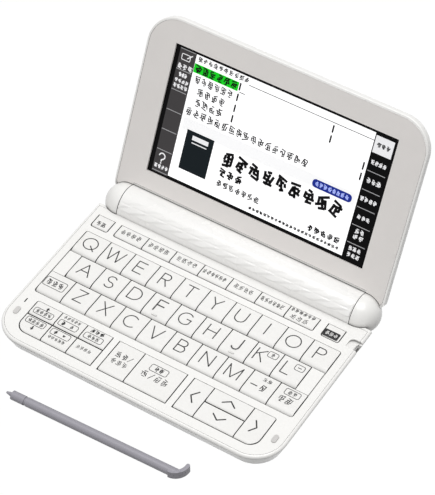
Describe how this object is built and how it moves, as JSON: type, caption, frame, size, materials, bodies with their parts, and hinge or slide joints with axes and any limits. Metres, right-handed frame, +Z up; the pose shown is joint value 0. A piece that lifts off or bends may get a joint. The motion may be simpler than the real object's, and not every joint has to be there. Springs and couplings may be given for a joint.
{
  "type": "electronic dictionary",
  "caption": "Pocket electronic dictionary with a keyboard base, a lid holding a wide display that turns about a battery barrel, and a separate stylus.",
  "frame": {"origin": "on the table under the middle of the whole object, lid and stylus included", "axes": "+X to the user's right, +Y from the user towards the lid, +Z up"},
  "size_m": [0.1472, 0.1663, 0.0941],
  "materials": {
    "white_shell": "satin",
    "barrel_shell": "satin",
    "key_cap": "satin",
    "bezel": "matt",
    "display_glass": "gloss",
    "steel": "satin",
    "cell_can": "satin",
    "circuit_board": "matt",
    "silicone": "matt",
    "stylus_plastic": "satin"
  },
  "bodies": {
    "base": {"bottom_housing": "white_shell", "top_housing": "white_shell", "hinge_barrel": "barrel_shell", "battery_cells": "cell_can", "battery_contacts": "steel", "main_board": "circuit_board", "rubber_keypad": "silicone", "rubber_pads": "silicone", "housing_screws": "steel"},
    "lid": {"lid_rear_cover": "white_shell", "lid_bezel": "bezel", "display_module": "display_glass", "hinge_caps": "white_shell", "hinge_pins": "steel"},
    "battery_door": {"battery_door": "barrel_shell"},
    "stylus": {"stylus": "stylus_plastic"},
    "q_key": {"q_key": "key_cap"},
    "w_key": {"w_key": "key_cap"},
    "e_key": {"e_key": "key_cap"},
    "r_key": {"r_key": "key_cap"},
    "t_key": {"t_key": "key_cap"},
    "y_key": {"y_key": "key_cap"},
    "u_key": {"u_key": "key_cap"},
    "i_key": {"i_key": "key_cap"},
    "o_key": {"o_key": "key_cap"},
    "p_key": {"p_key": "key_cap"},
    "a_key": {"a_key": "key_cap"},
    "s_key": {"s_key": "key_cap"},
    "d_key": {"d_key": "key_cap"},
    "f_key": {"f_key": "key_cap"},
    "g_key": {"g_key": "key_cap"},
    "h_key": {"h_key": "key_cap"},
    "j_key": {"j_key": "key_cap"},
    "k_key": {"k_key": "key_cap"},
    "l_key": {"l_key": "key_cap"},
    "shift_key": {"shift_key": "key_cap"},
    "z_key": {"z_key": "key_cap"},
    "x_key": {"x_key": "key_cap"},
    "c_key": {"c_key": "key_cap"},
    "v_key": {"v_key": "key_cap"},
    "b_key": {"b_key": "key_cap"},
    "n_key": {"n_key": "key_cap"},
    "m_key": {"m_key": "key_cap"},
    "dash_key": {"dash_key": "key_cap"},
    "delete_key": {"delete_key": "key_cap"},
    "page_up_key": {"page_up_key": "key_cap"},
    "example_key": {"example_key": "key_cap"},
    "jump_key": {"jump_key": "key_cap"},
    "page_down_key": {"page_down_key": "key_cap"},
    "size_key": {"size_key": "key_cap"},
    "marker_key": {"marker_key": "key_cap"},
    "back_key": {"back_key": "key_cap"},
    "enter_key": {"enter_key": "key_cap"},
    "cursor_left_key": {"cursor_left_key": "key_cap"},
    "cursor_up_key": {"cursor_up_key": "key_cap"},
    "cursor_down_key": {"cursor_down_key": "key_cap"},
    "cursor_right_key": {"cursor_right_key": "key_cap"},
    "power_key": {"power_key": "key_cap"},
    "home_key": {"home_key": "key_cap"},
    "dictionary_keys": {"dictionary_keys": "key_cap"}
  },
  "joints": [
    {"name": "lid_hinge", "type": "hinge", "parent": "base", "child": "lid", "pos_m": [0, 0.03513, 0.0094], "axis": [1, 0, 0], "range_deg": [-33.5, 116.5]},
    {"name": "battery_door_slide", "type": "slide", "parent": "base", "child": "battery_door", "axis": [1, 0, 0], "range_m": [0, 0.003]},
    {"name": "stylus_slide", "type": "slide", "parent": "base", "child": "stylus", "axis": [1, 0, 0], "range_m": [0, 0.08]},
    {"name": "q_key_press", "type": "slide", "parent": "base", "child": "q_key", "axis": [0, 0, -1], "range_m": [0, 0.0007], "stiffness_N_per_m": 600},
    {"name": "w_key_press", "type": "slide", "parent": "base", "child": "w_key", "axis": [0, 0, -1], "range_m": [0, 0.0007], "stiffness_N_per_m": 600},
    {"name": "e_key_press", "type": "slide", "parent": "base", "child": "e_key", "axis": [0, 0, -1], "range_m": [0, 0.0007], "stiffness_N_per_m": 600},
    {"name": "r_key_press", "type": "slide", "parent": "base", "child": "r_key", "axis": [0, 0, -1], "range_m": [0, 0.0007], "stiffness_N_per_m": 600},
    {"name": "t_key_press", "type": "slide", "parent": "base", "child": "t_key", "axis": [0, 0, -1], "range_m": [0, 0.0007], "stiffness_N_per_m": 600},
    {"name": "y_key_press", "type": "slide", "parent": "base", "child": "y_key", "axis": [0, 0, -1], "range_m": [0, 0.0007], "stiffness_N_per_m": 600},
    {"name": "u_key_press", "type": "slide", "parent": "base", "child": "u_key", "axis": [0, 0, -1], "range_m": [0, 0.0007], "stiffness_N_per_m": 600},
    {"name": "i_key_press", "type": "slide", "parent": "base", "child": "i_key", "axis": [0, 0, -1], "range_m": [0, 0.0007], "stiffness_N_per_m": 600},
    {"name": "o_key_press", "type": "slide", "parent": "base", "child": "o_key", "axis": [0, 0, -1], "range_m": [0, 0.0007], "stiffness_N_per_m": 600},
    {"name": "p_key_press", "type": "slide", "parent": "base", "child": "p_key", "axis": [0, 0, -1], "range_m": [0, 0.0007], "stiffness_N_per_m": 600},
    {"name": "a_key_press", "type": "slide", "parent": "base", "child": "a_key", "axis": [0, 0, -1], "range_m": [0, 0.0007], "stiffness_N_per_m": 600},
    {"name": "s_key_press", "type": "slide", "parent": "base", "child": "s_key", "axis": [0, 0, -1], "range_m": [0, 0.0007], "stiffness_N_per_m": 600},
    {"name": "d_key_press", "type": "slide", "parent": "base", "child": "d_key", "axis": [0, 0, -1], "range_m": [0, 0.0007], "stiffness_N_per_m": 600},
    {"name": "f_key_press", "type": "slide", "parent": "base", "child": "f_key", "axis": [0, 0, -1], "range_m": [0, 0.0007], "stiffness_N_per_m": 600},
    {"name": "g_key_press", "type": "slide", "parent": "base", "child": "g_key", "axis": [0, 0, -1], "range_m": [0, 0.0007], "stiffness_N_per_m": 600},
    {"name": "h_key_press", "type": "slide", "parent": "base", "child": "h_key", "axis": [0, 0, -1], "range_m": [0, 0.0007], "stiffness_N_per_m": 600},
    {"name": "j_key_press", "type": "slide", "parent": "base", "child": "j_key", "axis": [0, 0, -1], "range_m": [0, 0.0007], "stiffness_N_per_m": 600},
    {"name": "k_key_press", "type": "slide", "parent": "base", "child": "k_key", "axis": [0, 0, -1], "range_m": [0, 0.0007], "stiffness_N_per_m": 600},
    {"name": "l_key_press", "type": "slide", "parent": "base", "child": "l_key", "axis": [0, 0, -1], "range_m": [0, 0.0007], "stiffness_N_per_m": 600},
    {"name": "shift_key_press", "type": "slide", "parent": "base", "child": "shift_key", "axis": [0, 0, -1], "range_m": [0, 0.0007], "stiffness_N_per_m": 600},
    {"name": "z_key_press", "type": "slide", "parent": "base", "child": "z_key", "axis": [0, 0, -1], "range_m": [0, 0.0007], "stiffness_N_per_m": 600},
    {"name": "x_key_press", "type": "slide", "parent": "base", "child": "x_key", "axis": [0, 0, -1], "range_m": [0, 0.0007], "stiffness_N_per_m": 600},
    {"name": "c_key_press", "type": "slide", "parent": "base", "child": "c_key", "axis": [0, 0, -1], "range_m": [0, 0.0007], "stiffness_N_per_m": 600},
    {"name": "v_key_press", "type": "slide", "parent": "base", "child": "v_key", "axis": [0, 0, -1], "range_m": [0, 0.0007], "stiffness_N_per_m": 600},
    {"name": "b_key_press", "type": "slide", "parent": "base", "child": "b_key", "axis": [0, 0, -1], "range_m": [0, 0.0007], "stiffness_N_per_m": 600},
    {"name": "n_key_press", "type": "slide", "parent": "base", "child": "n_key", "axis": [0, 0, -1], "range_m": [0, 0.0007], "stiffness_N_per_m": 600},
    {"name": "m_key_press", "type": "slide", "parent": "base", "child": "m_key", "axis": [0, 0, -1], "range_m": [0, 0.0007], "stiffness_N_per_m": 600},
    {"name": "dash_key_press", "type": "slide", "parent": "base", "child": "dash_key", "axis": [0, 0, -1], "range_m": [0, 0.0007], "stiffness_N_per_m": 600},
    {"name": "delete_key_press", "type": "slide", "parent": "base", "child": "delete_key", "axis": [0, 0, -1], "range_m": [0, 0.0007], "stiffness_N_per_m": 600},
    {"name": "page_up_key_press", "type": "slide", "parent": "base", "child": "page_up_key", "axis": [0, 0, -1], "range_m": [0, 0.0007], "stiffness_N_per_m": 600},
    {"name": "example_key_press", "type": "slide", "parent": "base", "child": "example_key", "axis": [0, 0, -1], "range_m": [0, 0.0007], "stiffness_N_per_m": 600},
    {"name": "jump_key_press", "type": "slide", "parent": "base", "child": "jump_key", "axis": [0, 0, -1], "range_m": [0, 0.0007], "stiffness_N_per_m": 600},
    {"name": "page_down_key_press", "type": "slide", "parent": "base", "child": "page_down_key", "axis": [0, 0, -1], "range_m": [0, 0.0007], "stiffness_N_per_m": 600},
    {"name": "size_key_press", "type": "slide", "parent": "base", "child": "size_key", "axis": [0, 0, -1], "range_m": [0, 0.0007], "stiffness_N_per_m": 600},
    {"name": "marker_key_press", "type": "slide", "parent": "base", "child": "marker_key", "axis": [0, 0, -1], "range_m": [0, 0.0007], "stiffness_N_per_m": 600},
    {"name": "back_key_press", "type": "slide", "parent": "base", "child": "back_key", "axis": [0, 0, -1], "range_m": [0, 0.0007], "stiffness_N_per_m": 600},
    {"name": "enter_key_press", "type": "slide", "parent": "base", "child": "enter_key", "axis": [0, 0, -1], "range_m": [0, 0.0007], "stiffness_N_per_m": 600},
    {"name": "cursor_left_key_press", "type": "slide", "parent": "base", "child": "cursor_left_key", "axis": [0, 0, -1], "range_m": [0, 0.0007], "stiffness_N_per_m": 600},
    {"name": "cursor_up_key_press", "type": "slide", "parent": "base", "child": "cursor_up_key", "axis": [0, 0, -1], "range_m": [0, 0.0007], "stiffness_N_per_m": 600},
    {"name": "cursor_down_key_press", "type": "slide", "parent": "base", "child": "cursor_down_key", "axis": [0, 0, -1], "range_m": [0, 0.0007], "stiffness_N_per_m": 600},
    {"name": "cursor_right_key_press", "type": "slide", "parent": "base", "child": "cursor_right_key", "axis": [0, 0, -1], "range_m": [0, 0.0007], "stiffness_N_per_m": 600},
    {"name": "power_key_press", "type": "slide", "parent": "base", "child": "power_key", "axis": [0, 0, -1], "range_m": [0, 0.0007], "stiffness_N_per_m": 600},
    {"name": "home_key_press", "type": "slide", "parent": "base", "child": "home_key", "axis": [0, 0, -1], "range_m": [0, 0.0007], "stiffness_N_per_m": 600},
    {"name": "dictionary_keys_press", "type": "slide", "parent": "base", "child": "dictionary_keys", "axis": [0, 0, -1], "range_m": [0, 0.0007], "stiffness_N_per_m": 600}
  ]
}
